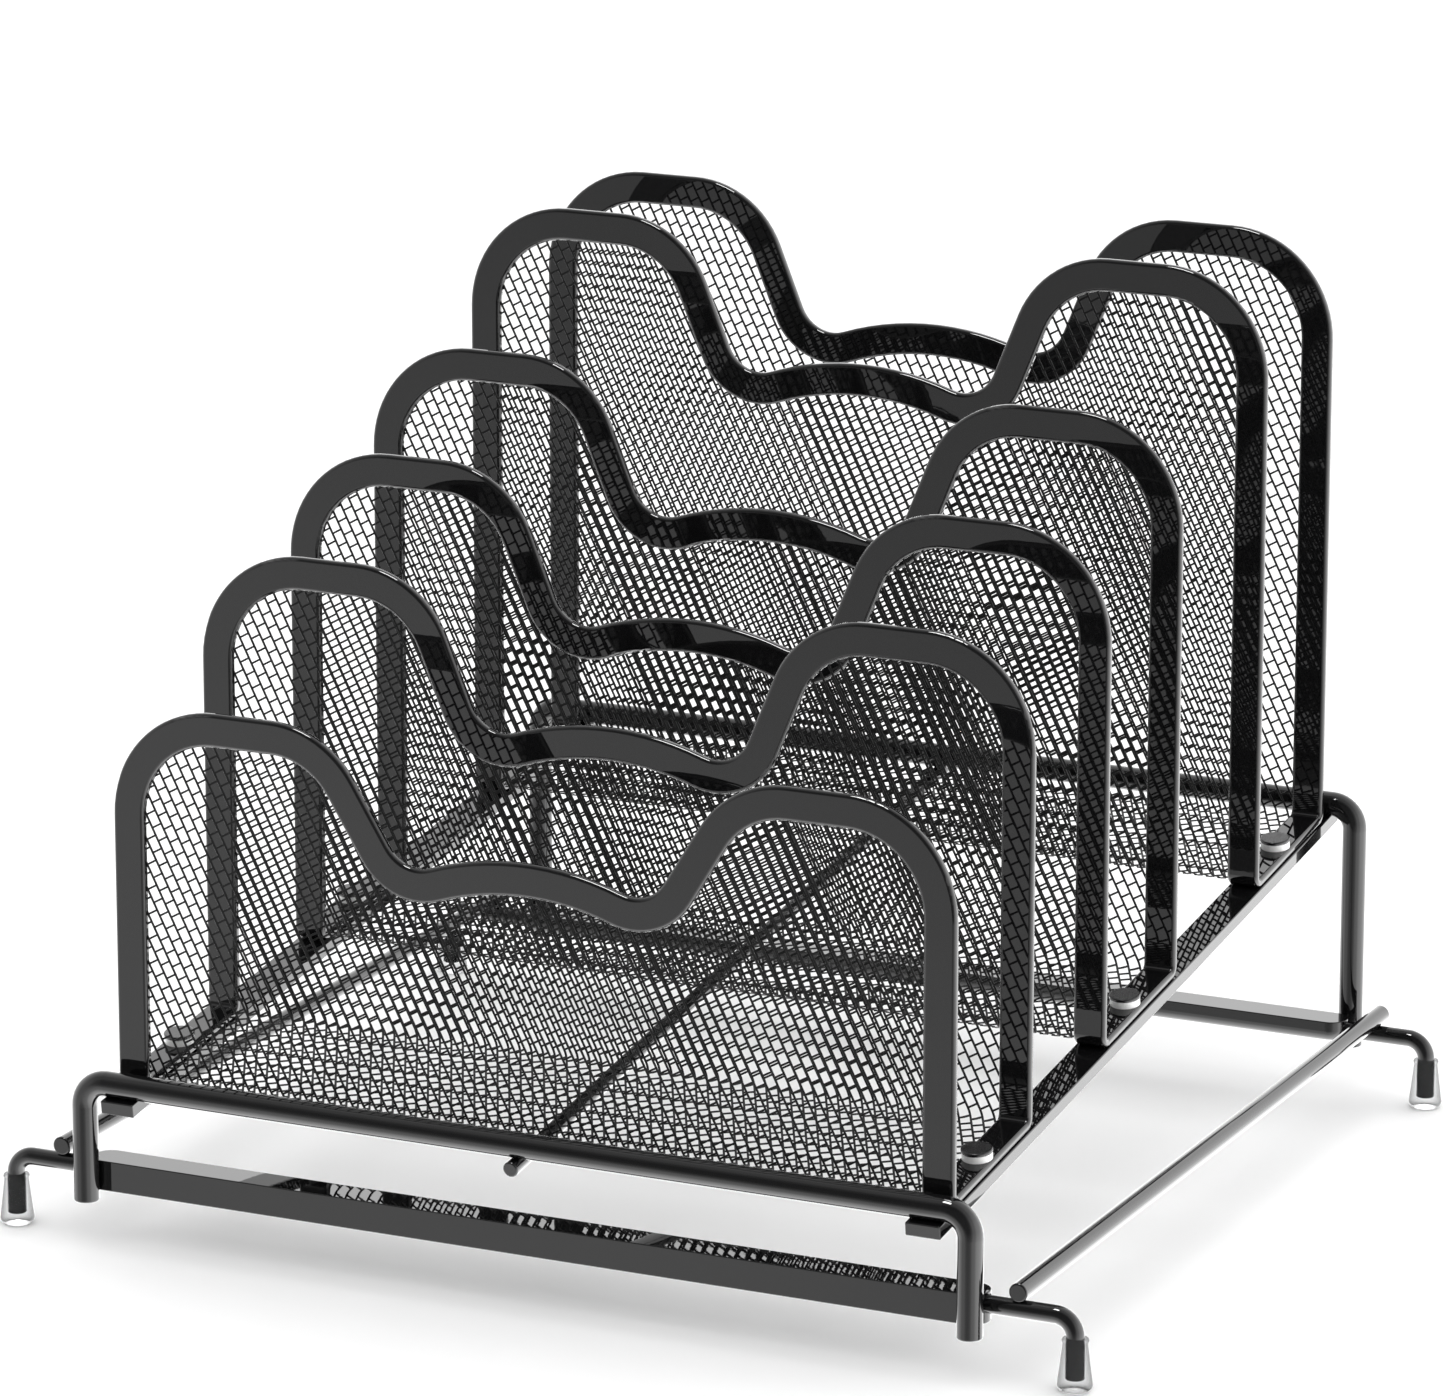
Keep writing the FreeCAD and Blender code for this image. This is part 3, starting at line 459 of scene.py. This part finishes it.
def white_plastic(name):
    """Satin white plastic with fine turned marks and small changes of polish."""
    made, tree, shader, coords = new_material(name)
    tree.links.new(mix_colours(tree, noise(tree, coords, 400.0, 3.0), *WASHER_WHITES),
                   shader.inputs["Base Color"])
    tree.links.new(ramp_between(tree, noise(tree, coords, 900.0, 3.0), *WASHER_ROUGH),
                   shader.inputs["Roughness"])
    marks = noise(tree, coords, 1400.0)
    tree.links.new(bump(tree, marks, WASHER_MARKS, WASHER_MARK_DEPTH), shader.inputs["Normal"])
    return made


def floor_material():
    """A plain white studio floor."""
    made, tree, shader, coords = new_material("floor_white")
    tree.links.new(mix_colours(tree, noise(tree, coords, 1.5), *FLOOR_WHITES),
                   shader.inputs["Base Color"])
    shader.inputs["Roughness"].default_value = FLOOR_ROUGH
    shader.inputs["Specular IOR Level"].default_value = 0.0
    return made


# ---- stage ----------------------------------------------------------------------------------

# brightness of the room by how far a direction turns from the dark side (1) to its opposite (0)
LIGHT_BY_TURN = ((0.0, 1.0), (0.50, 0.95), (0.60, 0.88), (0.70, 0.58), (0.80, 0.52), (0.83, 0.46),
                 (0.86, 0.30), (0.90, 0.18), (0.93, 0.08), (1.0, 0.07))
# and by its height, from straight down (0) to straight up (1)
LIGHT_BY_HEIGHT = ((0.0, 1.0), (0.50, 0.53), (0.66, 0.50), (0.85, 0.32), (1.0, 0.26))
ROOM_LIGHT = 4.9
RIGHT_GAIN = 0.30           # how much brighter the room is on the right than in the middle
DARK_AZIMUTH, DARK_ELEVATION = math.radians(5), math.radians(20)

FLOOR_HALF = 6.0

# place in metres, width in metres, and watts
FILL = ((0.0, -1.4, 2.4), 3.0, 38.0)
SOFTBOX = ((-0.10, -0.45, 1.50), 0.36, 13.0)

VIEW_AZIMUTH, VIEW_ELEVATION = math.radians(25.206), math.radians(14.979)
VIEW_PLACE = (1.0897, -2.3343, 0.8567)
LENS, SENSOR = 191.1, 36.0
SHIFT_X, SHIFT_Y = 0.00565, 0.0050


def ramp(tree, value, stops):
    """Brightness read from a table of stops."""
    node = tree.nodes.new("ShaderNodeValToRGB")
    elements = node.color_ramp.elements
    while len(elements) < len(stops):
        elements.new(0.5)
    for element, (where, level) in zip(elements, stops):
        element.position = where
        element.color = (level, level, level, 1.0)
    tree.links.new(value, node.inputs["Fac"])
    return node.outputs["Color"]


def heading(azimuth, elevation):
    """Direction from the sorter towards a place at an azimuth from the front."""
    return Vector((math.sin(azimuth) * math.cos(elevation),
                   -math.cos(azimuth) * math.cos(elevation), math.sin(elevation)))


def studio_world():
    """A white room all round, darker only towards the front."""
    world = bpy.data.worlds.new("studio")
    bpy.context.scene.world = world
    world.use_nodes = True
    tree = world.node_tree
    background = next(n for n in tree.nodes if n.type == "BACKGROUND")
    coords = tree.nodes.new("ShaderNodeTexCoord").outputs["Generated"]
    dot = tree.nodes.new("ShaderNodeVectorMath")
    dot.operation = "DOT_PRODUCT"
    tree.links.new(coords, dot.inputs[0])
    dot.inputs[1].default_value = heading(DARK_AZIMUTH, DARK_ELEVATION)
    split = tree.nodes.new("ShaderNodeSeparateXYZ")
    tree.links.new(coords, split.inputs["Vector"])
    turn = math_node(tree, "MULTIPLY_ADD", dot.outputs["Value"], 0.5, 0.5)
    upward = math_node(tree, "MULTIPLY_ADD", split.outputs["Z"], 0.5, 0.5)
    sideways = math_node(tree, "MULTIPLY_ADD", split.outputs["X"], RIGHT_GAIN, 1.0)
    level = math_node(tree, "MULTIPLY", ramp(tree, turn, LIGHT_BY_TURN),
                      ramp(tree, upward, LIGHT_BY_HEIGHT))
    level = math_node(tree, "MULTIPLY", level, sideways)
    tree.links.new(math_node(tree, "MULTIPLY", level, ROOM_LIGHT), background.inputs["Strength"])
    background.inputs["Color"].default_value = (1.0, 1.0, 1.0, 1.0)


def floor():
    """A wide floor under the feet, left out of the paint's reflections of the white room."""
    data = bpy.data.meshes.new("floor")
    half = FLOOR_HALF
    data.from_pydata([(-half, -half, 0), (half, -half, 0), (half, half, 0), (-half, half, 0)], [],
                     [(0, 1, 2, 3)])
    made = bpy.data.objects.new("floor", data)
    bpy.context.scene.collection.objects.link(made)
    made.data.materials.append(floor_material())
    made.visible_glossy = False


def area_light(name, where, size, watts):
    """A square light that looks at the sorter from a place in metres."""
    data = bpy.data.lights.new(name, "AREA")
    data.shape = "SQUARE"
    data.size = size
    data.energy = watts
    made = bpy.data.objects.new(name, data)
    made.location = where
    made.rotation_euler = (-Vector(where)).to_track_quat("-Z", "Y").to_euler()
    bpy.context.scene.collection.objects.link(made)
    return made


def lights():
    """A wide fill that only lifts the floor, and a small softbox overhead for the glints."""
    area_light("fill", *FILL).visible_glossy = False
    area_light("softbox", *SOFTBOX).visible_diffuse = False


def camera():
    """A long lens from the front right, a little above."""
    data = bpy.data.cameras.new("camera")
    data.sensor_fit = "HORIZONTAL"
    data.sensor_width = SENSOR
    data.lens = LENS
    data.shift_x, data.shift_y = SHIFT_X, SHIFT_Y
    data.clip_start, data.clip_end = 0.1, 50.0
    made = bpy.data.objects.new("camera", data)
    made.location = VIEW_PLACE
    forward = -heading(VIEW_AZIMUTH, VIEW_ELEVATION)
    made.rotation_euler = forward.to_track_quat("-Z", "Y").to_euler()
    bpy.context.scene.collection.objects.link(made)
    bpy.context.scene.camera = made


# ---- assembly -------------------------------------------------------------------------------

paint = black_paint("black_paint_gloss", **GLOSS_PAINT)
mesh_paint = black_paint("black_mesh_satin", **MESH_PAINT)
head_paint = black_paint("screw_head_satin", **HEAD_PAINT)
clear = clear_plastic("clear_cap_plastic")
washer = white_plastic("washer_white")

FINISH = {"black_paint": paint, "black_mesh": mesh_paint, "clear_cap": clear,
          "screw_head": head_paint, "white_washer": washer}

for entry in frame["record"]["subparts"]:
    node = frame["nodes"][entry["node"]]
    for slot in node.material_slots:
        slot.material = FINISH[entry["material_slot"]]

for tray in TRAYS:
    tray_mesh(tray).data.materials.append(mesh_paint)

for end in ("front", "rear"):
    for side in ("left", "right"):
        foot_cap("foot_cap_%s_%s" % (end, side)).data.materials.append(clear)

studio_world()
floor()
lights()
camera()
bpy.context.scene.view_settings.view_transform = "Standard"
